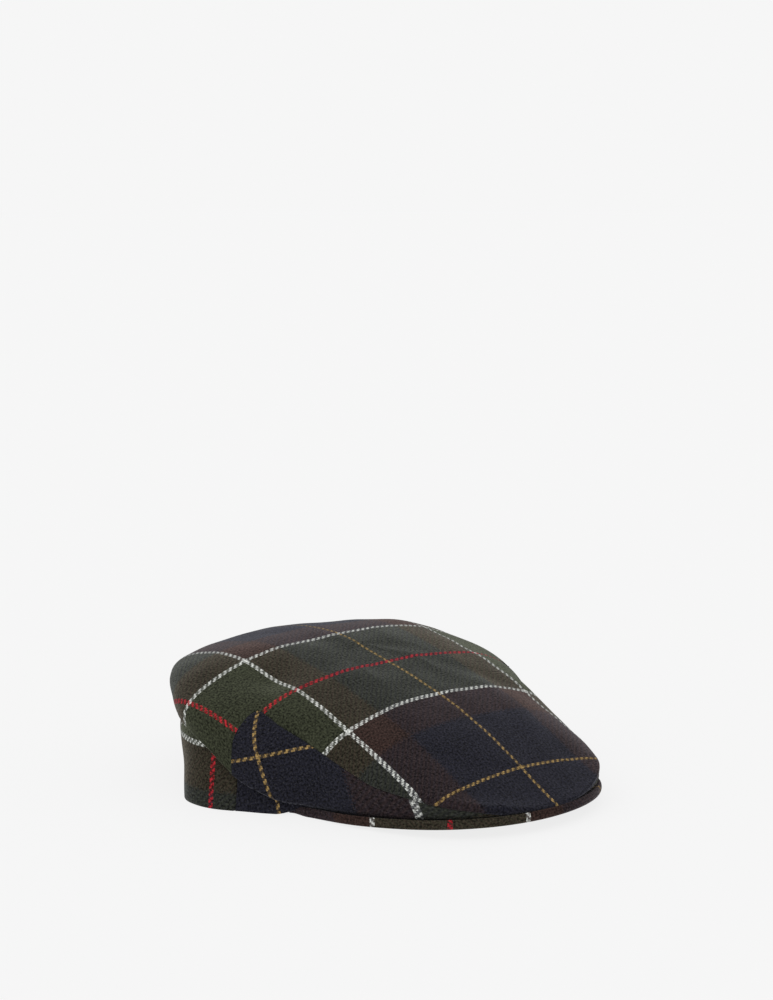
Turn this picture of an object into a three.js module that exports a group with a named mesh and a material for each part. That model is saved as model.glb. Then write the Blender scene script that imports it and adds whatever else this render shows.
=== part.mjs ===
import * as THREE from 'three';

// A flat cap of checked wool twill, lying on its rim as it does on a table.
// Millimetres, +Z up. The peak points along -Y and the wearer's right side is at -X.
// Angles go round the cap in degrees, from 0 at the middle of the peak over 90 at the side to 180 at
// the back. Both sides are alike. A rise is the way along the cloth, up from its bottom edge.

const CLOTH = 2.0;
const SEAM_GAP = 0.38;

// The outline round the cap: where the bottom edge lies, how far the crown hangs over it, the heights
// of the fold under the crown (lip) and of the widest place (bulge), and how squarely the crown turns
// over at that place
const SECTIONS = [
  { angle: 0, edge: 151, overhang: 0, lip: 15, bulge: 11, squareness: 6.9 },
  { angle: 20, edge: 144.5, overhang: 0, lip: 14, bulge: 18, squareness: 7 },
  { angle: 40, edge: 117, overhang: 0, lip: 8, bulge: 25, squareness: 4.6 },
  { angle: 58, edge: 96.5, overhang: 4, lip: 5, bulge: 31, squareness: 7 },
  { angle: 75, edge: 100.5, overhang: 3.5, lip: 17, bulge: 35, squareness: 4.6 },
  { angle: 90, edge: 105.5, overhang: 2, lip: 34, bulge: 41, squareness: 3.9 },
  { angle: 120, edge: 97, overhang: 5, lip: 40, bulge: 49, squareness: 6 },
  { angle: 150, edge: 96, overhang: 6.5, lip: 37, bulge: 46, squareness: 4.2 },
  { angle: 180, edge: 94, overhang: 8.5, lip: 38, bulge: 45, squareness: 4 },
];
const EDGE_INSET = 1.5;
const TUCK_INSET = 1;
const BULGE_OUT = 1;
const FOLD_DEPTH = 3;
const LIP_SHARE = 0.45;

// The crown's middle line as seen from the side
const MIDLINE = [
  { y: -168, z: 6 },
  { y: -134, z: 23.7 },
  { y: -96, z: 43 },
  { y: -48, z: 59.3 },
  { y: 10, z: 73 },
  { y: 105, z: 71 },
];
// The crown is arched across: its radius over the peak and over the head
const ARCH_FRONT = { y: -150, radius: 340 };
const ARCH_BACK = { y: -30, radius: 670 };

// Soft dents of the crown, the same on both sides
const DENTS = [
  { x: 86, y: 6, radius: 22, depth: 2 },
  { x: 48, y: 62, radius: 30, depth: 2 },
];

// The seam between the crown panel and the side panel: from its front tip over the peak up to the
// top of the side panel, and down behind it to the fold
const SIDE_SEAM = [
  { angle: 13, rise: 0.8 },
  { angle: 16.5, rise: 3.5 },
  { angle: 20, rise: 5.3 },
  { angle: 25, rise: 7.9 },
  { angle: 30, rise: 11.4 },
  { angle: 34, rise: 14.2 },
  { angle: 38.5, rise: 17.4 },
  { angle: 43, rise: 22.8 },
  { angle: 50, rise: 31.2 },
  { angle: 58, rise: 40.2 },
  { angle: 66.5, rise: 56.4 },
  { angle: 71.5, rise: 61.7 },
  { angle: 75.6, rise: 65.2 },
  { angle: 76.8, rise: 62.6 },
  { angle: 78, rise: 54 },
  { angle: 79, rise: 42 },
];
const SEAM_TIP = SIDE_SEAM[0].angle;
const SEAM_FOOT = 79.5;
const TURN_GAP = 0.27;

// The peak is a stiff board in cloth with a rolled edge. It is arched, so its middle stands off the
// table and its corners touch it
const PEAK_END = 64;
const PEAK_CORNER = 62;
const CORNER_FADE = 6;
const PEAK_ARCH = [
  { angle: 0, z: 5.8 },
  { angle: 20, z: 5.4 },
  { angle: 40, z: 1.9 },
  { angle: 58, z: 0 },
];
const BOARD = 3.6;
const BOARD_OUT = 0.9;
const BOARD_STEPS = 5;
const PEAK_BACK = { halfWidth: 80, middle: -99, corner: -44, lift: 8 };
// The rolled edge: how far out from the crown's edge, and its lower and upper side as shares of its
// height. The crown's edge goes down behind it
const ROLL_HEIGHT = 5;
const ROLL = [
  { out: 2.2, low: 0.3, high: 0.68 },
  { out: 1.8, low: 0.08, high: 0.92 },
  { out: 1.3, low: 0, high: 1 },
  { out: 1, low: 0, high: 0.92 },
];
const TUCK_OVER_EDGE = 1.8;

const STATION_STEPS = 24;
const SAME_POINT = 0.002;
const NORMAL_RISE = 1.5;
const NORMAL_TURN = 1;
const STEPS = {
  seam: 6,
  front: 4,
  peak: 3,
  back: 7,
  crown: { topAtSeamFoot: 84, rows: 10, crowding: 1.6 },
  side: { below: 3, above: 10, crowding: 1.4 },
  band: { rows: 3 },
};

const COLOURS = { navy: 0x2e323c, brown: 0x45403a, green: 0x454b3c };

const radians = THREE.MathUtils.degToRad;
const mix = THREE.MathUtils.lerp;
const { clamp, smoothstep, euclideanModulo } = THREE.MathUtils;

// A smooth curve through one column of a table; it ends level where the other side mirrors it
function curve(rows, across, column, at, level = false) {
  const x = rows.map((row) => row[across]);
  const y = rows.map((row) => row[column]);
  const last = x.length - 1;
  const slope = (i) => (y[i + 1] - y[i]) / (x[i + 1] - x[i]);
  const tangent = (i) => {
    if (i === 0 || i === last) return level ? 0 : slope(Math.min(i, last - 1));
    const before = x[i] - x[i - 1];
    const after = x[i + 1] - x[i];
    return (slope(i - 1) * after + slope(i) * before) / (before + after);
  };
  if (at <= x[0]) return y[0] + tangent(0) * (at - x[0]);
  if (at >= x[last]) return y[last] + tangent(last) * (at - x[last]);
  const i = x.findIndex((value) => value >= at) - 1;
  const step = x[i + 1] - x[i];
  const t = (at - x[i]) / step;
  const rest = 1 - t;
  const start = y[i] * (1 + 2 * t) * rest * rest + step * tangent(i) * t * rest * rest;
  const end = y[i + 1] * t * t * (3 - 2 * t) - step * tangent(i + 1) * t * t * rest;
  return start + end;
}

// The angle from the middle of the peak, the same on both sides
const around = (angle) => Math.abs(euclideanModulo(angle + 180, 360) - 180);

const outline = (angle, column) => curve(SECTIONS, 'angle', column, around(angle), true);

const direction = (angle) => new THREE.Vector3(Math.sin(radians(angle)), -Math.cos(radians(angle)), 0);

// 1 over the peak and 0 round the head's rim, with a soft change at the peak's corner
function overPeak(angle) {
  return 1 - smoothstep(around(angle), PEAK_CORNER - CORNER_FADE, PEAK_CORNER + CORNER_FADE);
}

const peakBottom = (angle) => Math.max(0, curve(PEAK_ARCH, 'angle', 'z', around(angle), true));

function crownHeight(x, y) {
  const share = clamp((y - ARCH_FRONT.y) / (ARCH_BACK.y - ARCH_FRONT.y), 0, 1);
  const radius = mix(ARCH_FRONT.radius, ARCH_BACK.radius, share);
  const arched = curve(MIDLINE, 'y', 'z', y) - (x * x) / (2 * radius);
  return DENTS.reduce((height, dent) => {
    const away = Math.hypot(Math.abs(x) - dent.x, y - dent.y) / dent.radius;
    return height - dent.depth * Math.exp(-away * away);
  }, arched);
}

// Radius and height of the places on one upright section: edge, tuck behind the fold, lip of the
// fold, and bulge
function places(angle) {
  const peak = overPeak(angle);
  const edge = outline(angle, 'edge') - EDGE_INSET * peak;
  const foot = peak * (peakBottom(angle) + BOARD + SEAM_GAP);
  const tuck = edge - TUCK_INSET * (1 - peak);
  const bulge = edge + BULGE_OUT + outline(angle, 'overhang');
  const lip = Math.max(outline(angle, 'lip'), foot);
  return {
    edge: [edge, foot],
    tuck: [tuck, mix(lip + FOLD_DEPTH, foot + TUCK_OVER_EDGE, peak)],
    lip: [mix(tuck, bulge, LIP_SHARE), mix(lip, foot + TUCK_OVER_EDGE, peak)],
    bulge: [bulge, outline(angle, 'bulge')],
    squareness: outline(angle, 'squareness'),
  };
}

// Radius and height at a station: 0 edge, 1 tuck, 2 lip, 3 bulge, 4 the crown's middle
function sectionPoint(angle, place, station) {
  const part = station % 1;
  const turn = (part * Math.PI) / 2;
  const { edge, tuck, lip, bulge } = place;
  if (station < 1) return [mix(edge[0], tuck[0], part), mix(edge[1], tuck[1], part)];
  if (station < 2) return [mix(tuck[0], lip[0], part), mix(tuck[1], lip[1], Math.sin(turn))];
  if (station < 3) return [mix(lip[0], bulge[0], Math.sin(turn)), mix(lip[1], bulge[1], 1 - Math.cos(turn))];
  const left = ((4 - station) * Math.PI) / 2;
  const radius = bulge[0] * Math.sin(left) ** (2 / place.squareness);
  const spot = direction(angle).multiplyScalar(radius);
  return [radius, mix(bulge[1], crownHeight(spot.x, spot.y), Math.cos(left))];
}

// One upright section as a row of points, with the rise at each
const sections = new Map();
function section(angle) {
  const key = around(angle).toFixed(4);
  if (!sections.has(key)) {
    const place = places(angle);
    const points = [];
    const rises = [0];
    for (let step = 0; step <= 4 * STATION_STEPS; step += 1) {
      points.push(sectionPoint(around(angle), place, step / STATION_STEPS));
      if (step > 0) {
        const [before, here] = points.slice(-2);
        rises.push(rises[step - 1] + Math.hypot(here[0] - before[0], here[1] - before[1]));
      }
    }
    sections.set(key, { points, rises, tuck: rises[STATION_STEPS], top: rises[4 * STATION_STEPS] });
  }
  return sections.get(key);
}

function onCloth(angle, rise) {
  const { points, rises, top } = section(angle);
  const at = clamp(rise, 0, top);
  const i = Math.max(1, rises.findIndex((value) => value >= at));
  const share = (at - rises[i - 1]) / (rises[i] - rises[i - 1]);
  const spot = direction(angle).multiplyScalar(mix(points[i - 1][0], points[i][0], share));
  return spot.setZ(mix(points[i - 1][1], points[i][1], share));
}

// A level counts up a section too, but follows the fold: 0 edge, 1 tuck, 2 the crown's middle
function riseAt(angle, level) {
  const { tuck, top } = section(angle);
  return level < 1 ? level * tuck : mix(tuck, top, level - 1);
}

function levelAt(angle, rise) {
  const { tuck, top } = section(angle);
  return rise < tuck ? rise / tuck : 1 + (rise - tuck) / (top - tuck);
}

function outward(angle, level) {
  const rise = riseAt(angle, level);
  if (rise > section(angle).top - 2 * NORMAL_RISE) return new THREE.Vector3(0, 0, 1);
  const up = onCloth(angle, rise + NORMAL_RISE).sub(onCloth(angle, rise - NORMAL_RISE));
  const [after, before] = [angle + NORMAL_TURN, angle - NORMAL_TURN];
  const along = onCloth(after, riseAt(after, level)).sub(onCloth(before, riseAt(before, level)));
  return along.cross(up).normalize();
}

// Both faces of the cloth at one place; at the bottom edge the cut is level
function faces({ angle, level }) {
  const outer = onCloth(angle, riseAt(angle, level));
  const inner = outer.clone().addScaledVector(outward(angle, level), -CLOTH);
  if (level <= 0) inner.setZ(outer.z);
  return { outer, inner };
}

// Shares from 0 to 1 in equal parts
const shares = (parts) => Array.from({ length: parts + 1 }, (_, k) => k / parts);

// The seam as a row of points at most one step apart, from its tip to its foot at the tuck
function seamPoints() {
  const stops = [...SIDE_SEAM, { angle: SEAM_FOOT, rise: section(SEAM_FOOT).tuck }];
  const points = [stops[0]];
  stops.slice(1).forEach((stop, i) => {
    const from = stops[i];
    const length = onCloth(from.angle, from.rise).distanceTo(onCloth(stop.angle, stop.rise));
    const parts = Math.ceil(length / STEPS.seam);
    shares(parts).slice(1).forEach((share) => {
      points.push({ angle: mix(from.angle, stop.angle, share), rise: mix(from.rise, stop.rise, share) });
    });
  });
  return points;
}
const SEAM = seamPoints();

// The seam's points moved across it, upwards to the crown panel's side or down to the side panel's
function besideSeam(way) {
  return SEAM.map((point, i) => {
    const before = SEAM[Math.max(i - 1, 0)];
    const after = SEAM[Math.min(i + 1, SEAM.length - 1)];
    const arc = radians(1) * places(point.angle).bulge[0];
    const along = new THREE.Vector2((after.angle - before.angle) * arc, after.rise - before.rise).normalize();
    const angle = point.angle - (along.y * way) / arc;
    return { angle, level: levelAt(angle, point.rise + along.x * way) };
  });
}

// Angles from one to another, at most one step apart
function anglesBetween(from, to, step) {
  return shares(Math.ceil((to - from) / step)).map((share) => mix(from, to, share));
}

const BACK_ANGLES = anglesBetween(SEAM_FOOT, 180, STEPS.back);

// A closed solid between two grids of points. A round one joins its last column to its first. Where
// points fall together, their empty triangles are left out
function slab(upper, lower, round = false) {
  const columns = upper.length;
  const rows = upper[0].length;
  const end = columns - 1;
  const edge = rows - 1;
  const high = (i, j) => (i % columns) * rows + j;
  const low = (i, j) => high(i, j) + columns * rows;
  const spots = [...upper.flat(), ...lower.flat()];
  const index = [];
  const apart = (a, b) => spots[a].distanceTo(spots[b]) > SAME_POINT;
  const triangle = (a, b, c) => {
    if (apart(a, b) && apart(b, c) && apart(c, a)) index.push(a, b, c);
  };
  const quad = (a, b, c, d) => {
    triangle(a, b, c);
    triangle(a, c, d);
  };
  for (let i = 0; i < (round ? columns : end); i += 1) {
    for (let j = 0; j < edge; j += 1) {
      quad(high(i, j), high(i + 1, j), high(i + 1, j + 1), high(i, j + 1));
      quad(low(i, j), low(i, j + 1), low(i + 1, j + 1), low(i + 1, j));
    }
    quad(low(i, 0), low(i + 1, 0), high(i + 1, 0), high(i, 0));
    if (!round) quad(high(i, edge), high(i + 1, edge), low(i + 1, edge), low(i, edge));
  }
  for (let j = 0; j < edge && !round; j += 1) {
    quad(low(0, j), high(0, j), high(0, j + 1), low(0, j + 1));
    quad(high(end, j), low(end, j), low(end, j + 1), high(end, j + 1));
  }
  const geometry = new THREE.BufferGeometry();
  geometry.setAttribute('position', new THREE.Float32BufferAttribute(spots.flatMap((p) => p.toArray()), 3));
  geometry.setIndex(index);
  geometry.computeVertexNormals();
  return geometry;
}

// A panel of cloth from columns of places, each column from the low edge to the high one
function panel(columns, round = false) {
  const grid = columns.map((column) => column.map(faces));
  const outer = grid.map((column) => column.map((pair) => pair.outer));
  const inner = grid.map((column) => column.map((pair) => pair.inner));
  return slab(outer, inner, round);
}

const mirrored = (columns) => columns
  .map((column) => column.map(({ angle, level }) => ({ angle: -angle, level })))
  .reverse();

// The crown panel runs from the peak's edge over the head, and down at the back to the fold. Its
// columns spread evenly at the top, also where their feet crowd on the steep part of the seam
function crownPanel() {
  const { topAtSeamFoot, rows, crowding } = STEPS.crown;
  const column = (foot, topAngle) => {
    const start = riseAt(foot.angle, foot.level) / section(foot.angle).top;
    return shares(rows).map((share) => {
      const angle = mix(foot.angle, topAngle, share ** crowding);
      const rise = mix(start, 1, share ** crowding) * section(angle).top;
      return { angle, level: levelAt(angle, rise) };
    });
  };
  const ahead = anglesBetween(0, SEAM_TIP - TURN_GAP, STEPS.front).map((angle) => {
    return column({ angle, level: 0 }, angle);
  });
  const side = besideSeam(SEAM_GAP / 2).map((foot, i) => {
    return column(foot, mix(SEAM_TIP, topAtSeamFoot, i / (SEAM.length - 1)));
  });
  const behind = BACK_ANGLES.slice(1).map((angle) => {
    const foot = { angle, level: levelAt(angle, section(angle).tuck + SEAM_GAP / 2) };
    return column(foot, mix(topAtSeamFoot, 180, (angle - SEAM_FOOT) / (180 - SEAM_FOOT)));
  });
  const half = [...ahead, ...side, ...behind];
  return panel([...mirrored(half.slice(1, -1)), ...half], true);
}

// A side panel fills the wedge under the seam and runs forward along the peak to a thin tip. It is
// one cloth from the rim over the fold to its top, with rows that follow the fold
function sidePanel(side) {
  const { below, above, crowding } = STEPS.side;
  const columns = besideSeam(-SEAM_GAP / 2).map((seam, i) => {
    const top = i === SEAM.length - 1 ? 1 : seam.level;
    const tuck = Math.min(top, 1);
    const levels = [
      ...shares(below).map((share) => tuck * share),
      ...shares(above).slice(1).map((share) => mix(tuck, top, share ** crowding)),
    ];
    const foot = mix(SEAM_TIP + TURN_GAP, SEAM_FOOT - TURN_GAP, i / (SEAM.length - 1));
    return levels.map((level) => ({ angle: mix(foot, seam.angle, level / top), level }));
  });
  return panel(side > 0 ? columns : mirrored(columns));
}

// The back band stands on the rim behind the side panels and ends at the tuck under the fold
function backBand() {
  const half = [SEAM_FOOT + TURN_GAP, ...BACK_ANGLES.slice(1)].map((angle) => {
    const top = levelAt(angle, section(angle).tuck - SEAM_GAP / 2);
    return shares(STEPS.band.rows).map((share) => ({ angle, level: top * share }));
  });
  const farther = mirrored(half.slice(0, -1)).map((column) => {
    return column.map(({ angle, level }) => ({ angle: angle + 360, level }));
  });
  return panel([...half, ...farther]);
}

// One column through the peak: pairs of an upper and a lower point, from the rolled edge inwards
function peakColumn(angle) {
  const [edge, foot] = places(angle).edge;
  const bottom = peakBottom(angle);
  const top = foot - SEAM_GAP;
  const height = mix(top - bottom, ROLL_HEIGHT, overPeak(angle));
  const turn = radians((angle / PEAK_END) * 90);
  const back = new THREE.Vector3(
    PEAK_BACK.halfWidth * Math.sin(turn),
    mix(PEAK_BACK.corner, PEAK_BACK.middle, Math.cos(turn)),
    PEAK_BACK.lift * Math.cos(turn) ** 4,
  );
  const roll = ROLL.map(({ out, low, high }) => {
    const spot = direction(angle).multiplyScalar(edge + out);
    return { upper: spot.clone().setZ(bottom + high * height), lower: spot.setZ(bottom + low * height) };
  });
  const rim = direction(angle).multiplyScalar(edge + BOARD_OUT);
  const board = Array.from({ length: BOARD_STEPS + 1 }, (_, k) => {
    const spot = rim.clone().lerp(back, k / BOARD_STEPS);
    const lift = back.z * smoothstep(k, 1, BOARD_STEPS);
    return { upper: spot.clone().setZ(top + lift), lower: spot.setZ(bottom + lift) };
  });
  return [...roll, ...board];
}

function peakBoard() {
  const columns = anglesBetween(-PEAK_END, PEAK_END, STEPS.peak).map(peakColumn);
  const upper = columns.map((column) => column.map((pair) => pair.upper));
  const lower = columns.map((column) => column.map((pair) => pair.lower));
  return slab(upper, lower);
}

const cap = new THREE.Group();
function add(name, geometry, colour) {
  const material = new THREE.MeshStandardMaterial({ color: colour, roughness: 0.95, metalness: 0 });
  const mesh = new THREE.Mesh(geometry, material);
  mesh.name = name;
  cap.add(mesh);
}

add('crown_panel', crownPanel(), COLOURS.brown);
add('side_panel_right', sidePanel(-1), COLOURS.navy);
add('side_panel_left', sidePanel(1), COLOURS.navy);
add('back_band', backBand(), COLOURS.green);
add('peak', peakBoard(), COLOURS.navy);

// The cap's own middle lies over the origin
const frontReach = places(0).edge[0] + ROLL[0].out;
const backReach = places(180).bulge[0];
cap.position.y = (frontReach - backReach) / 2;

export default cap;
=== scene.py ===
"""A flat cap of checked wool twill, lying on its rim on a pale table. Sizes are in millimetres until
a piece is made. Angles go round the cap in degrees, from 0 at the middle of the peak to 180 at the
back, and a piece's columns of points go up the cap."""
import math

import bpy
import numpy as np
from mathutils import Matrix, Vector, noise


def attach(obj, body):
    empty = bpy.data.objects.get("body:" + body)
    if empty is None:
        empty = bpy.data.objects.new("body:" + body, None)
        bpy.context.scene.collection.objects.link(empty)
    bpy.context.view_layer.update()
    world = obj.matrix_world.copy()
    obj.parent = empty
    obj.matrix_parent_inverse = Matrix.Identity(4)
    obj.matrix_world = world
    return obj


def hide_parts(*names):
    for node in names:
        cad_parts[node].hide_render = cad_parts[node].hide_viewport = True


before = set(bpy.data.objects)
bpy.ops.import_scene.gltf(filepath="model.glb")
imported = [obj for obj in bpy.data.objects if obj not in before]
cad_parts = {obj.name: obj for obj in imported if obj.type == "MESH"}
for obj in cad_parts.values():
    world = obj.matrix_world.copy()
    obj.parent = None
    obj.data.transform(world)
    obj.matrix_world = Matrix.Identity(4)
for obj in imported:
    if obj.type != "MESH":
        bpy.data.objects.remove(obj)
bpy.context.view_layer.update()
MM = 0.001
scene = bpy.context.scene


# The table and the studio
# A smooth pale table top without an edge in sight, between pale walls, with one wide soft window on
# the cap's right. The camera stands a good metre away, a little above the cap and off its right front.
def table_top():
    half = 30
    corners = [(-half, -half, 0), (half, -half, 0), (half, half, 0), (-half, half, 0)]
    mesh = bpy.data.meshes.new("table_top")
    mesh.from_pydata(corners, [], [(0, 1, 2, 3)])
    top = bpy.data.objects.new("table_top", mesh)
    scene.collection.objects.link(top)
    paint = bpy.data.materials.new("pale_paint")
    paint.use_nodes = True
    shader = paint.node_tree.nodes["Principled BSDF"]
    shader.inputs["Base Color"].default_value = (0.1, 0.1, 0.1, 1)
    shader.inputs["Roughness"].default_value = 0.9
    shader.inputs["Specular IOR Level"].default_value = 0
    shader.inputs["Emission Color"].default_value = (1, 1, 1, 1)
    shader.inputs["Emission Strength"].default_value = 0.811
    mesh.materials.append(paint)


def soft_light(name, strength, spread, pitch, heading):
    lamp = bpy.data.lights.new(name, "SUN")
    lamp.energy = strength
    lamp.angle = math.radians(spread)
    light = bpy.data.objects.new(name, lamp)
    light.rotation_euler = (math.radians(pitch), 0, math.radians(heading))
    scene.collection.objects.link(light)


table_top()
studio = bpy.data.worlds.new("studio")
scene.world = studio
studio.use_nodes = True
studio.node_tree.nodes["Background"].inputs["Color"].default_value = (0.922, 0.922, 0.922, 1)
studio.node_tree.nodes["Background"].inputs["Strength"].default_value = 1
soft_light("window", strength=0.8, spread=60, pitch=40, heading=-80)
scene.view_settings.view_transform = "Standard"

camera = bpy.data.objects.new("camera", bpy.data.cameras.new("camera"))
camera.location = (-0.7749, -0.8365, 0.3142)
camera.rotation_euler = (math.radians(81.96), 0, math.radians(-42.81))
camera.data.sensor_width = 36
camera.data.lens = 77.3
camera.data.clip_end = 100
scene.collection.objects.link(camera)
scene.camera = camera


# The crown panel
# One large piece of the checked twill, 2 mm thick with its backing. It is sewn in under the peak's
# rolled edge, drawn back over the head and turned under at the back in a soft fold.

# Upright sections of the whole cap. "edge" is the radius of the rim or the peak, "overhang" how far
# the crown stands out past it, "lip" and "bulge" the heights of the fold's lower edge and of the
# crown's widest line, "lip_share" how far out the lip is, and a higher "squareness" fills the dome.
UPRIGHTS = {
    "angle": (0, 20, 40, 58, 75, 90, 120, 150, 180),
    "edge": (151, 144.5, 117, 96.5, 100.5, 109, 98, 95.3, 94),
    "overhang": (0, 0, 0, 4, 3.5, -0.5, 3.5, 5.5, 8),
    "lip": (15, 14, 8, 4.4, 14.5, 34, 45.5, 43.5, 41),
    "bulge": (11, 18, 25, 31, 35, 41, 53, 53, 47),
    "squareness": (6.9, 7, 4.6, 7, 4.6, 3.9, 5, 3.3, 3.6),
    "lip_share": (0.5, 0.5, 0.5, 0.5, 0.85, 0.9, 0.8, 0.45, 0.45),
}

# The top of the crown over the cap's middle, and the soft hollows and rises in it
MIDDLE_LINE = {"y": (-168, -134, -96, -48, 10, 105), "z": (6, 23.7, 43, 59.3, 73.5, 71.8)}
DENTS = {
    "x": (-86, 86, -48, 48, -66, 80, -60),
    "y": (6, 6, 62, 62, -9, -52, -44),
    "wide": (22, 22, 30, 30, 12, 14, 16),
    "deep": (2, 1.2, 0.5, 0.8, 2.8, -1.6, 0.6),
}

# The underside of the peak is arched. Its board is set back from the rim's line, and its rolled edge
# stands out past the board.
PEAK_ARCH = {"angle": (0, 20, 40, 58), "z": (5.8, 5.4, 1.9, 0)}
BOARD = 3.6
PEAK_SET_BACK = 1.5
ROLL_FOOT = 0.9
ROLL_OUT = 1.3

# The seam between the crown and a side panel, from the panel's tip to its foot, as a rise along the
# cloth from the crown's widest line. The last angle has no rise here, because it ends at the tuck.
SIDE_SEAM = {
    "angle": (13, 16.5, 20, 25, 30, 34, 38.5, 43, 50, 58, 66.5, 71.5, 75.6, 76.8, 78, 79, 79.5),
    "rise": (-4.3, -4, -3.8, -3.6, -2.8, -2.2, -1.3, 1.6, 5.5, 9.8, 15.7, 20.2, 22.1, 19.3, 10.6, -2.1),
}
SEAM_COLUMNS = 130
TOP_AT_SEAM_FOOT = 84

CLOTH = 2
CLOTH_OUT = 1
SEAM_GAP = 0.38
OVERLAP = 0.1
SEAM_IN = 5.5
TUCK_ABOVE_LIP = 6


def curve(x, y, at, level=False):
    """A smooth curve through points; it ends level where the other side mirrors it."""
    x, y, at = (np.asarray(values, float) for values in (x, y, at))
    slope = np.diff(y) / np.diff(x)
    before, after = np.diff(x)[:-1], np.diff(x)[1:]
    inner = (slope[:-1] * after + slope[1:] * before) / (before + after)
    first, last = (0, 0) if level else (slope[0], slope[-1])
    tangent = np.concatenate([[first], inner, [last]])
    i = np.clip(np.searchsorted(x, at) - 1, 0, len(x) - 2)
    step = x[i + 1] - x[i]
    t = np.clip((at - x[i]) / step, 0, 1)
    rest = 1 - t
    inside = y[i] * (1 + 2 * t) * rest**2 + step * tangent[i] * t * rest**2
    inside += y[i + 1] * t**2 * (3 - 2 * t) - step * tangent[i + 1] * t**2 * rest
    outside = np.minimum(at - x[0], 0) * tangent[0] + np.maximum(at - x[-1], 0) * tangent[-1]
    return inside + outside


def mix(a, b, share):
    return a + (b - a) * share


def smooth(values, low, high):
    t = np.clip((values - low) / (high - low), 0, 1)
    return t * t * (3 - 2 * t)


def around(angle):
    return np.abs((np.asarray(angle, float) + 180) % 360 - 180)


def outline(angle, column):
    return curve(UPRIGHTS["angle"], UPRIGHTS[column], around(angle), level=True)


def over_peak(angle):
    """1 where the crown lies over the peak, 0 where the cap stands on its rim."""
    return 1 - smooth(around(angle), 56, 68)


def peak_bottom(angle):
    return np.maximum(0, curve(PEAK_ARCH["angle"], PEAK_ARCH["z"], around(angle), level=True))


def crown_height(x, y):
    """The top of the crown: its middle line, rounder toward the peak, and its dents."""
    radius = mix(340, 670, np.clip((y + 150) / 120, 0, 1))
    height = curve(MIDDLE_LINE["y"], MIDDLE_LINE["z"], y) - x**2 / (2 * radius)
    for dent_x, dent_y, wide, deep in zip(*DENTS.values()):
        away = np.hypot(x - dent_x, y - dent_y) / wide
        height = height - deep * np.exp(-(away**2))
    return height


def uprights(angle, steps=32):
    """Upright sections of the cloth at some angles, each from its foot to the top of the crown. For
    each point: radius, height, and how far along and across the flat cloth it lies from the crown's
    middle. Then the rise along the cloth at every point, at the tuck, the widest line and the top."""
    peak = over_peak(angle)[:, None]
    edge = outline(angle, "edge")[:, None]
    bulge = edge + CLOTH_OUT + outline(angle, "overhang")[:, None] - PEAK_SET_BACK * peak
    bulge_z = outline(angle, "bulge")[:, None]
    lip_z = outline(angle, "lip")[:, None]
    part = np.arange(steps)[None, :] / steps
    turn = part * math.pi / 2
    toward = np.radians(angle)[:, None]

    # Round the back the band leans out, and the cloth goes in and up behind the fold
    lean = smooth(around(angle), 95, 118)[:, None]
    foot_in = 8.4 * lean
    tuck_in = 4 + 3 * lean
    slope = mix(-3.5, 12, lean)
    tuck = edge - tuck_in
    tuck_z = lip_z + TUCK_ABOVE_LIP
    lip = mix(tuck, bulge, outline(angle, "lip_share")[:, None])
    band = edge - foot_in + slope * part - (tuck_in - foot_in + slope) * smooth(part, 0.65, 1)
    behind = np.hstack([band, mix(tuck, lip, part), mix(lip, bulge, np.sin(turn))])
    behind_z = np.hstack([
        tuck_z * part,
        mix(tuck_z, lip_z, np.sin(turn)),
        mix(lip_z, bulge_z, 1 - np.cos(turn)),
    ])

    # Over the peak it comes up from the seam in one curve, steep at first
    foot = peak_bottom(angle)[:, None] + BOARD + SEAM_GAP
    swing = np.hstack([0.12 * part, 0.12 + 0.12 * part, 0.24 + 0.76 * part]) * math.pi / 2
    ahead = mix(edge - SEAM_IN, bulge, np.sin(swing) ** 0.4)
    step_up = mix(0.7, 1.3, smooth(around(angle), 15, 45))[:, None]
    ahead_z = mix(foot + step_up * smooth(swing, 0, 0.15), bulge_z, 1 - np.cos(swing))

    left = (1 - np.arange(steps + 1)[None, :] / steps) * math.pi / 2
    dome = bulge * np.sin(left) ** (2 / outline(angle, "squareness")[:, None])
    over = crown_height(dome * np.sin(toward), -dome * np.cos(toward))
    radius = np.hstack([mix(behind, ahead, peak), dome])
    height = np.hstack([mix(behind_z, ahead_z, peak), mix(bulge_z, over, np.cos(left))])

    # The check runs straight over the top, and straight down where the cloth hangs
    run, climb = np.diff(radius, axis=1), np.diff(height, axis=1)
    rise = np.pad(np.cumsum(np.hypot(run, climb), axis=1), ((0, 0), (1, 0)))
    steep = smooth(np.abs(climb) / np.maximum(np.abs(run), 1e-6), 0.5, 1.6)
    flat = []
    for share in (-np.cos(toward), np.sin(toward)):
        step = share * np.sqrt(run**2 + mix(share**2, 1, steep) * climb**2)
        flat.append(np.pad(np.cumsum(step[:, ::-1], axis=1)[:, ::-1], ((0, 0), (0, 1))))
    points = np.stack([radius, height, *flat])
    return points, rise, rise[:, steps], rise[:, 3 * steps], rise[:, -1]


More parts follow.
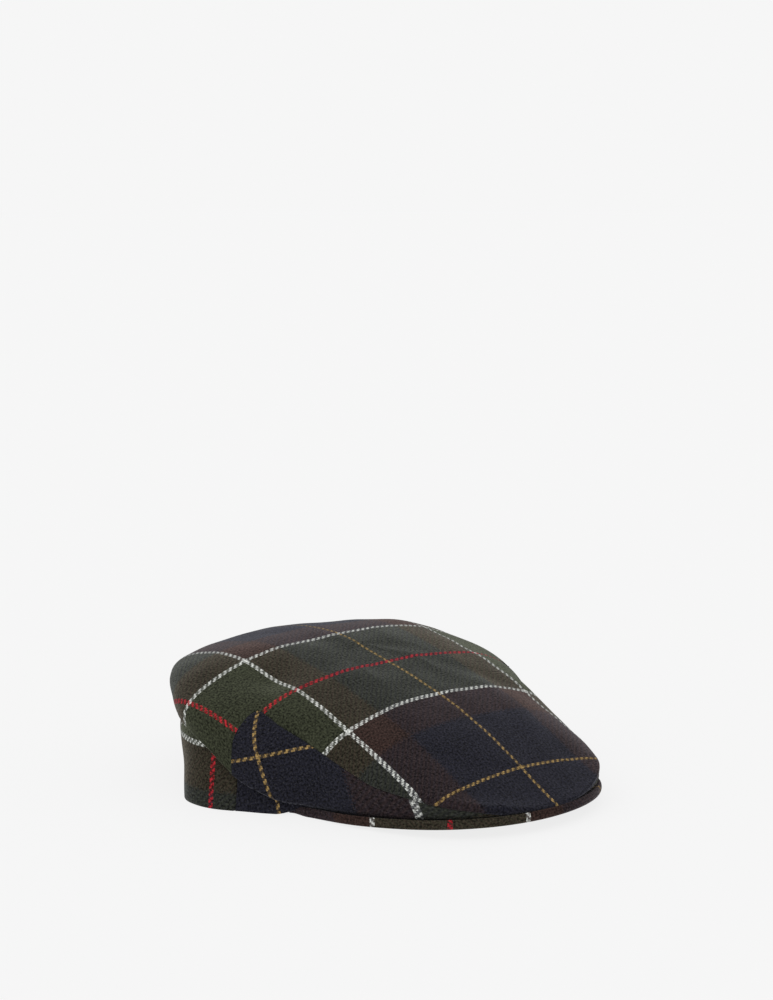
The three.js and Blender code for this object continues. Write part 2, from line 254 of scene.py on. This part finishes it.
def on_cloth(angle, rise):
    """Places on the cap's surface, and the flat cloth's way along and across there."""
    shape = np.broadcast(angle, rise).shape
    angle = np.broadcast_to(np.asarray(angle, float), shape).ravel()
    wanted = np.broadcast_to(np.asarray(rise, float), shape).ravel()
    found = np.empty((4, angle.size))
    at_once = 6000
    for start in range(0, angle.size, at_once):
        part = slice(start, start + at_once)
        values, rises, _, _, _ = uprights(angle[part])
        i = np.clip((rises < wanted[part, None]).sum(1), 1, rises.shape[1] - 1)
        row = np.arange(len(i))
        share = (wanted[part] - rises[row, i - 1]) / (rises[row, i] - rises[row, i - 1])
        found[:, part] = mix(values[:, row, i - 1], values[:, row, i], np.clip(share, 0, 1))
    radius, height, along, across = found
    toward = np.radians(angle)
    points = np.stack([radius * np.sin(toward), -radius * np.cos(toward), height], 1)
    return points.reshape(*shape, 3), np.stack([along, across], 1).reshape(*shape, 2)


EVERY_ANGLE = np.arange(0, 180.1, 0.25)
EVERY_TUCK, EVERY_BULGE, EVERY_TOP = uprights(EVERY_ANGLE)[2:]


def tuck_rise(angle):
    return np.interp(around(angle), EVERY_ANGLE, EVERY_TUCK)


def bulge_rise(angle):
    return np.interp(around(angle), EVERY_ANGLE, EVERY_BULGE)


def top_rise(angle):
    return np.interp(around(angle), EVERY_ANGLE, EVERY_TOP)


def beside_seam(way):
    """Angles and rises down a side panel's seam, a little to one side of it."""
    angle = np.array(SIDE_SEAM["angle"], float)
    at_tuck = tuck_rise(angle[-1]) - bulge_rise(angle[-1])
    past = np.array([*SIDE_SEAM["rise"], at_tuck], float)
    arc = np.radians(1) * (outline(angle, "edge") + outline(angle, "overhang"))
    sideways = np.diff(angle) * (arc[1:] + arc[:-1]) / 2
    length = np.concatenate([[0], np.cumsum(np.hypot(sideways, np.diff(past)))])
    at = np.linspace(0, length[-1], SEAM_COLUMNS)
    angle, past = curve(length, angle, at), curve(length, past, at)
    arc = np.radians(1) * (outline(angle, "edge") + outline(angle, "overhang"))
    along = np.stack([np.gradient(angle) * arc, np.gradient(past)])
    along /= np.linalg.norm(along, axis=0)
    beside = angle - along[1] * way / arc
    return beside, past + along[0] * way + bulge_rise(beside)


def surface_normals(points, closed):
    if closed:
        step = np.roll(points, -1, 0) - np.roll(points, 1, 0)
    else:
        step = np.gradient(points, axis=0)
    normal = np.cross(step, np.gradient(points, axis=1))
    size = np.linalg.norm(normal, axis=2, keepdims=True)
    return np.where(size > 1e-9, normal / np.maximum(size, 1e-9), (0, 0, 1))


def cloth_wall(points, drop, on_rim=True, closed=False):
    """The outside of a piece of cloth, let down where its edges turn in, and its inside. The two
    are level at the foot where it stands on the rim."""
    normal = surface_normals(points, closed)
    inner = points - CLOTH * normal
    inner[:, 0, 2] = np.where(on_rim, points[:, 0, 2], inner[:, 0, 2])
    return points - drop[:, :, None] * normal, inner


def to_part(points):
    """The cap's middle lies over the origin, and a part is in metres."""
    front = UPRIGHTS["edge"][0] - PEAK_SET_BACK + ROLL_FOOT + ROLL_OUT
    back = UPRIGHTS["edge"][-1] + CLOTH_OUT + UPRIGHTS["overhang"][-1]
    return (points + (0, (front - back) / 2, 0)) * MM


def grid_piece(name, upper, lower, flat, closed=False, lower_flat=None):
    """A closed piece between two grids of points, with the flat cloth's millimetres as its map."""
    columns, rows = upper.shape[:2]
    index = np.arange(columns * rows).reshape(columns, rows)
    if closed:
        index = np.vstack([index, index[:1]])
    under = index + columns * rows

    def quads(*corners):
        shape = np.broadcast(*corners).shape
        return np.stack([np.broadcast_to(corner, shape).ravel() for corner in corners], 1)

    faces = [
        quads(index[:-1, :-1], index[1:, :-1], index[1:, 1:], index[:-1, 1:]),
        quads(under[:-1, :-1], under[:-1, 1:], under[1:, 1:], under[1:, :-1]),
        quads(under[:-1, 0], under[1:, 0], index[1:, 0], index[:-1, 0]),
    ]
    if not closed:
        faces += [
            quads(index[:-1, -1], index[1:, -1], under[1:, -1], under[:-1, -1]),
            quads(under[0, :-1], index[0, :-1], index[0, 1:], under[0, 1:]),
            quads(index[-1, :-1], under[-1, :-1], under[-1, 1:], index[-1, 1:]),
        ]
    faces = np.vstack(faces)
    points = to_part(np.vstack([upper.reshape(-1, 3), lower.reshape(-1, 3)]))
    mesh = bpy.data.meshes.new(name)
    mesh.from_pydata(points.tolist(), [], faces.tolist())
    cloth_map = mesh.uv_layers.new(name="cloth")
    lower_flat = flat if lower_flat is None else lower_flat
    spots = np.vstack([flat.reshape(-1, 2), lower_flat.reshape(-1, 2)]) * MM
    cloth_map.uv.foreach_set("vector", spots[faces.ravel()].astype(np.float32).ravel())
    mesh.polygons.foreach_set("use_smooth", np.ones(len(mesh.polygons), bool))
    piece = bpy.data.objects.new(name, mesh)
    scene.collection.objects.link(piece)
    return piece


def turned_edge(distance, radius=1.2):
    """How far the cloth drops where its edge turns in at a seam."""
    inside = np.clip(radius - distance, 0, radius)
    return radius - np.sqrt(radius**2 - inside**2)


def length_along(line):
    return np.concatenate([[0], np.linalg.norm(np.diff(line, axis=0), axis=1).cumsum()])


def way_up(points, from_top=False):
    """The way up each column of points from its foot, or down it from its top."""
    steps = np.linalg.norm(np.diff(points, axis=1), axis=2)
    if from_top:
        return np.pad(np.cumsum(steps[:, ::-1], axis=1)[:, ::-1], ((0, 0), (0, 1)))
    return np.pad(np.cumsum(steps, axis=1), ((0, 0), (1, 0)))


def soft_waves(points, seed):
    """The slight unevenness of cloth that has been worn and laid down."""
    spots = points.reshape(-1, 3)
    waves = np.zeros(len(spots))
    for height, length in ((0.9, 42), (0.5, 17)):
        places = (Vector(spot / length) + Vector((seed, 0, 0)) for spot in spots)
        waves += [height * noise.noise(place) for place in places]
    return waves.reshape(points.shape[:2])


def mirrored_columns(angle, rise):
    return -angle[::-1], rise[::-1]


class Shade:
    """A socket of the cloth's nodes, so that shader maths reads as sums."""

    def __init__(self, tree, socket):
        self.tree = tree
        self.socket = socket

    def sums(self, operation, *others):
        return node(self.tree, "Math", {"operation": operation}, dict(enumerate((self, *others))))

    def __add__(self, other):
        return self.sums("ADD", other)

    def __sub__(self, other):
        return self.sums("SUBTRACT", other)

    def __rsub__(self, other):
        return node(self.tree, "Math", {"operation": "SUBTRACT"}, {0: other, 1: self})

    def __mul__(self, other):
        return self.sums("MULTIPLY", other)

    def __truediv__(self, other):
        return self.sums("DIVIDE", other)

    def __mod__(self, other):
        return self.sums("FLOORED_MODULO", other)

    def __pow__(self, other):
        return self.sums("POWER", other)

    def __lt__(self, other):
        return self.sums("LESS_THAN", other)

    __radd__ = __add__
    __rmul__ = __mul__


def node(tree, kind, settings=None, sockets=None, output=0):
    """One node of the cloth: its settings first, then values or links for its sockets."""
    made = tree.nodes.new("ShaderNode" + kind)
    for name, value in (settings or {}).items():
        if name == "stops":
            ramp = made.color_ramp
            ramp.interpolation = "CONSTANT"
            while len(ramp.elements) < len(value):
                ramp.elements.new(1)
            for element, (position, colour) in zip(ramp.elements, value):
                element.position = position
                element.color = colour
        else:
            setattr(made, name, value)
    for name, value in (sockets or {}).items():
        if isinstance(value, Shade):
            tree.links.new(value.socket, made.inputs[name])
        else:
            made.inputs[name].default_value = value
    return Shade(tree, made.outputs[output])


# Each stripe starts at its first number, and a line is shown from there to the next start with a 0.
YARN = 0.92
HALF_SETT = 108
NAVY = (0.0112, 0.0113, 0.0168)
BROWN = (0.0262, 0.0150, 0.0127)
GREEN = (0.0262, 0.0292, 0.0174)
WHITE = (0.47, 0.48, 0.455)
RED = (0.30, 0.014, 0.021)
GOLD = (0.25, 0.165, 0.060)
GROUNDS = ((0, NAVY, 1), (43, BROWN, 1), (66.6, GREEN, 1))
LINES = ((0, GOLD, 1), (0.9, GOLD, 0), (65.2, WHITE, 1), (67.9, WHITE, 0), (106.6, RED, 1))


def checked_wool():
    material = bpy.data.materials.new("checked_wool")
    material.use_nodes = True
    tree = material.node_tree
    cloth = node(tree, "UVMap", {"uv_map": "cloth"})

    def grain(scale, detail):
        sockets = {"Vector": cloth, "Scale": scale, "Detail": detail}
        return node(tree, "TexNoise", {"noise_dimensions": "2D"}, sockets, "Fac")

    def blend(share, one, other):
        sockets = {"Factor": share, "A": one, "B": other}
        return node(tree, "Mix", {"data_type": "RGBA"}, sockets, "Result")

    def stripes(table, place):
        stops = [(start / HALF_SETT, (*colour, shown)) for start, colour, shown in table]
        colour = node(tree, "ValToRGB", {"stops": stops}, {"Fac": place / HALF_SETT})
        return colour, Shade(tree, colour.socket.node.outputs["Alpha"])

    # The yarns of the twill, two over and two under, with the wander of a soft yarn
    split = node(tree, "SeparateXYZ", {}, {"Vector": cloth})
    fuzz = grain(1150, 2) - 0.5
    wander = fuzz * 0.5
    weft_place = split / (YARN * MM) + wander
    warp_place = Shade(tree, split.socket.node.outputs["Y"]) / (YARN * MM) - wander
    weft = weft_place.sums("FLOOR")
    warp = warp_place.sums("FLOOR")
    warp_on_top = (weft - warp) % 4 < 2

    def yarn_colour(yarn):
        place = ((yarn + 0.5) * YARN).sums("PINGPONG", HALF_SETT)
        ground, _ = stripes(GROUNDS, place + fuzz * 9)
        line, shown = stripes(LINES, place)
        return blend(shown, ground, line), shown

    # The steps of the twill show clearly in the lines and hardly in the fulled grounds
    weft_colour, weft_line = yarn_colour(weft)
    warp_colour, warp_line = yarn_colour(warp)
    line = weft_line.sums("MAXIMUM", warp_line)
    clear = line * 0.55 + 0.2
    colour = blend((warp_on_top - 0.5) * clear + 0.5, weft_colour, warp_colour)

    # Fulled wool is flecked with lighter and darker hairs. Painted sheen: the colour is made paler
    # where the surface turns away from the view, standing in for the nap's sheen at a slant
    melange = grain(820, 3)
    fleck = (melange - 0.5) * 3.4
    patches = (grain(60, 3) - 0.5) * 0.5
    shade = (fleck + patches + 1).sums("MAXIMUM", 0.25)
    turned_away = node(tree, "LayerWeight", {}, {"Blend": 0.5}, "Facing").sums("MINIMUM", 0.75)
    painted_sheen_mask = turned_away**4
    # Painted sheen: away from the lines, the colour is brightened by up to about two and a half times
    # where the surface is seen at a slant
    painted_sheen_gain = (1 - line) * painted_sheen_mask * 5 + 1
    colour = node(tree, "VectorMath", {"operation": "SCALE"}, {0: colour, "Scale": shade * painted_sheen_gain})
    pale_hair = (grain(1500, 1) - 0.6).sums("MAXIMUM", 0) * 0.6
    colour = blend(pale_hair, colour, (0.22, 0.21, 0.18, 1))
    # Painted sheen: the colour is blended toward a pale grey where the surface is seen at a slant,
    # flecked by the melange
    colour = blend(painted_sheen_mask * melange, colour, (0.09, 0.09, 0.092, 1))

    # The rounds of the yarns are nearly lost under the felted hairs
    weft_round = ((weft_place % 1 - 0.5) * math.pi).sums("COSINE")
    warp_round = ((warp_place % 1 - 0.5) * math.pi).sums("COSINE")
    height = (weft_round + (warp_round - weft_round) * warp_on_top) * 0.3 + melange * 3
    bump = node(tree, "Bump", {}, {"Height": height, "Strength": 0.35, "Distance": 0.0003})
    shader = tree.nodes["Principled BSDF"]
    tree.links.new(colour.socket, shader.inputs["Base Color"])
    tree.links.new(bump.socket, shader.inputs["Normal"])
    shader.inputs["Roughness"].default_value = 0.95
    shader.inputs["Specular IOR Level"].default_value = 0.05
    shader.inputs["Sheen Weight"].default_value = 0.07
    shader.inputs["Sheen Roughness"].default_value = 0.3
    return material


def finish_piece(piece, solid):
    piece.data.materials.append(wool)
    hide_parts(solid)
    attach(piece, "root")


def crown_panel():
    first, last = SIDE_SEAM["angle"][0], SIDE_SEAM["angle"][-1]
    ahead = np.linspace(0, first, 28, endpoint=False)
    seam_angle, seam_rise = beside_seam(-OVERLAP)
    behind = np.linspace(last, 180, 110)[1:]
    foot = np.concatenate([ahead, seam_angle, behind])
    foot_rise = np.concatenate([0 * ahead, seam_rise, tuck_rise(behind) - OVERLAP])
    top_angle = np.concatenate([
        ahead,
        np.linspace(first, TOP_AT_SEAM_FOOT, SEAM_COLUMNS),
        mix(TOP_AT_SEAM_FOOT, 180, (behind - last) / (180 - last)),
    ])
    share = np.linspace(0, 1, 80) ** 1.6
    angles = mix(foot[:, None], top_angle[:, None], share[None, :])
    rises = mix((foot_rise / top_rise(foot))[:, None], 1, share[None, :]) * top_rise(angles)
    farther = mirrored_columns(angles[1:-1], rises[1:-1])
    angles, rises = np.vstack([farther[0], angles]), np.vstack([farther[1], rises])
    points, flat = on_cloth(angles, rises)
    drop = turned_edge(way_up(points)) - soft_waves(points, seed=3)
    outer, inner = cloth_wall(points, drop, on_rim=rises[:, 0] <= 0, closed=True)
    cut_from = (HALF_SETT + 26.4, 0)
    return grid_piece("crown_cloth", outer, inner, flat + cut_from, closed=True)


wool = checked_wool()
finish_piece(crown_panel(), "crown_panel")


# The side panels
# A wedge of the same cloth on each side, sewn in under the crown. It is widest behind the temple and
# runs forward over the peak to a thin tip, and its lower edge is the cap's rim.
def side_panel(side):
    seam_angle, seam_rise = beside_seam(OVERLAP)
    foot = np.linspace(SIDE_SEAM["angle"][0], SIDE_SEAM["angle"][-1] + 0.05, SEAM_COLUMNS)

    # A level counts up to 1 at the tuck under the fold and on to 2 at the top of the crown
    tuck, top = tuck_rise(seam_angle), top_rise(seam_angle)
    level = np.minimum(seam_rise / tuck, 1) + np.maximum(seam_rise - tuck, 0) / (top - tuck)
    at_tuck = np.minimum(1, 1 / level)[:, None]
    below = at_tuck * np.linspace(0, 1, 12, endpoint=False)
    above = mix(at_tuck, 1, 1 - (1 - np.linspace(0, 1, 44)) ** 1.5)
    shares = np.hstack([below, above])
    levels = level[:, None] * shares
    angles = mix(foot[:, None], seam_angle[:, None], shares)
    above_tuck = mix(tuck_rise(angles), top_rise(angles), levels - 1)
    rises = np.where(levels < 1, levels * tuck_rise(angles), above_tuck)
    if side < 0:
        angles, rises = mirrored_columns(angles, rises)
    points, _ = on_cloth(angles, rises)
    drop = turned_edge(way_up(points, from_top=True)) - soft_waves(points, seed=8)
    outer, inner = cloth_wall(points, drop)

    # The check runs level round the side, turned a little
    turn = math.radians(-15)
    rim_radius = 100
    cut_from = (112, -62)
    forward = -np.abs(np.radians(angles)) * rim_radius
    past = rises - bulge_rise(angles)
    up = np.where(past < 0, outer[:, :, 2], outline(angles, "bulge") + past)
    along = forward * math.cos(turn) - up * math.sin(turn)
    across = up * math.cos(turn) + forward * math.sin(turn)
    flat = np.stack([along, across], 2) + cut_from
    return grid_piece("side_cloth_right" if side < 0 else "side_cloth_left", outer, inner, flat)


finish_piece(side_panel(-1), "side_panel_right")
finish_piece(side_panel(1), "side_panel_left")


# The back band
# A strip of the cloth that goes round the back of the head from one side panel to the other. It
# stands on the rim and leans out a little, and the crown hangs over it in its soft fold.
def back_band():
    first = SIDE_SEAM["angle"][-1] - 0.05
    angle = np.linspace(first, 360 - first, 260)
    rises = (tuck_rise(angle) + OVERLAP)[:, None] * np.linspace(0, 1, 26)[None, :]
    points, _ = on_cloth(angle[:, None], rises)
    along = length_along(points[:, 0])
    ends = turned_edge(np.minimum(along, along[-1] - along))[:, None]
    outer, inner = cloth_wall(points, ends - soft_waves(points, seed=15))
    cut_from = (0, 34)
    flat = np.stack([along[:, None] + 0 * rises, way_up(outer)], 2) + cut_from
    return grid_piece("band_cloth", outer, inner, flat)


finish_piece(back_band(), "back_band")


# The peak
# A stiff board in the same cloth, about 5 cm deep and arched from side to side. Its front edge is
# rolled and stands proud of the crown, which is sewn in along a groove behind it.
def peak():
    end = 64
    angle = np.linspace(-end, end, 300)
    shown = over_peak(angle)
    edge = outline(angle, "edge") - PEAK_SET_BACK * shown
    bottom = peak_bottom(angle)
    top = shown * (bottom + BOARD + SEAM_GAP) - SEAM_GAP
    roll = mix(top - bottom, 5, shown)

    # The board's back edge is a flat arc inside the cap, and its ends are tucked in under the sides
    turn = np.radians(angle / end * 90)
    back = np.stack([76 * np.sin(turn), mix(-42, -99, np.cos(turn)), 8 * np.cos(turn) ** 4], 1)
    direction = np.stack([np.sin(np.radians(angle)), -np.cos(np.radians(angle)), 0 * angle], 1)
    inside = 5 * smooth(np.abs(angle), 57, end)
    sides = []
    for way in (1, -1):
        rows = []
        for share in np.linspace(0, 1, 14):
            out = ROLL_FOOT + ROLL_OUT * math.cos(share * math.pi / 2)
            rows.append(direction * (edge + out - inside)[:, None])
            rows[-1][:, 2] = bottom + roll * (0.5 + way * 0.5 * math.sin(share * math.pi / 2))
        rim = direction * (edge + ROLL_FOOT - inside)[:, None]
        for share in np.linspace(0, 1, 24)[1:]:
            rows.append(mix(rim, back, share))
            rows[-1][:, 2] = (top if way > 0 else bottom) + back[:, 2] * smooth(share, 0.2, 1)
        sides.append(np.stack(rows, 1))
    upper, lower = sides
    along = length_along(upper[:, 0])[:, None]
    cut_from = (12, 50)
    over, under = (
        np.stack([along + 0 * inward, inward], 2) + cut_from
        for inward in (-way_up(upper), way_up(lower))
    )
    return grid_piece("peak_cloth", upper, lower, over, lower_flat=under)


finish_piece(peak(), "peak")
